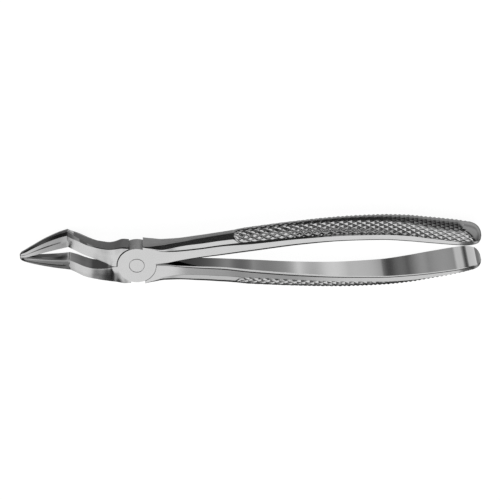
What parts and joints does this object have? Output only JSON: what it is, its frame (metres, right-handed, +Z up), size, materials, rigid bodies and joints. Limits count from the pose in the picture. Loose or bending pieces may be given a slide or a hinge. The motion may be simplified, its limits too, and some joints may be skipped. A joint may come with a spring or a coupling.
{
  "type": "extraction forceps",
  "caption": "Bayonet-pattern dental extraction forceps: two crossed steel halves on a flush rivet joint, slim bent beaks and long handles with cross-cut grips.",
  "frame": {"origin": "centre of the bounding box's footprint, on the surface the closed forceps lie on", "axes": "+X from the beaks to the handle ends, +Y the side of the handle on the front half, +Z up out of the joint's front face"},
  "size_m": [0.1778, 0.0298, 0.0183],
  "materials": {
    "forged_steel": "satin-polished stainless steel, bright on the faces, cross-cut on the handle backs",
    "rivet_steel": "satin-polished stainless steel, ground flush with the joint faces"
  },
  "bodies": {
    "rear_body": {"rear_half": "forged_steel", "pivot_rivet": "rivet_steel"},
    "front_body": {"front_half": "forged_steel"}
  },
  "joints": [
    {"name": "pivot_hinge", "type": "hinge", "parent": "rear_body", "child": "front_body", "pos_m": [-0.04322, 0, 0.0137], "axis": [0.0349, 0, 0.9994], "range_deg": [0, 36]}
  ]
}
